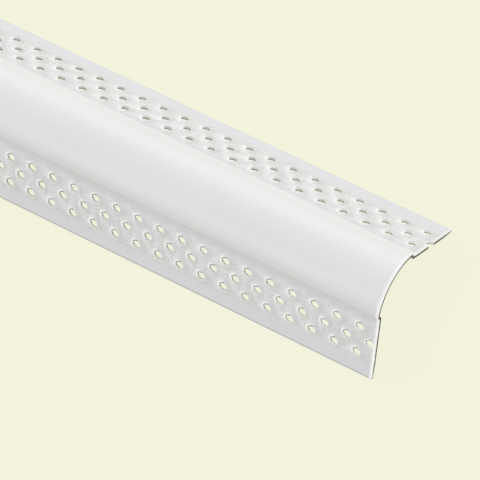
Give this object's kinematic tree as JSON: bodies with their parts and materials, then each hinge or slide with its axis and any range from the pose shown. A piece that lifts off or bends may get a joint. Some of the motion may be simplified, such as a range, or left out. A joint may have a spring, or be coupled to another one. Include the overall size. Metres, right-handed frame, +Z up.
{
  "type": "drywall corner bead",
  "caption": "Rounded drywall corner bead: a long white vinyl strip with a bullnose and two perforated legs that hold joint compound over an outside wall corner.",
  "frame": {"origin": "on the floor under the middle of the strip, at the centre of the bounding box's bottom", "axes": "+X along the strip towards the cut end that the picture shows, +Z up through the top of the nose"},
  "size_m": [2.4384, 0.0654, 0.0325],
  "materials": {
    "white_vinyl": "smooth satin white rigid PVC"
  },
  "bodies": {
    "root": {"corner_bead": "white_vinyl"}
  },
  "joints": []
}
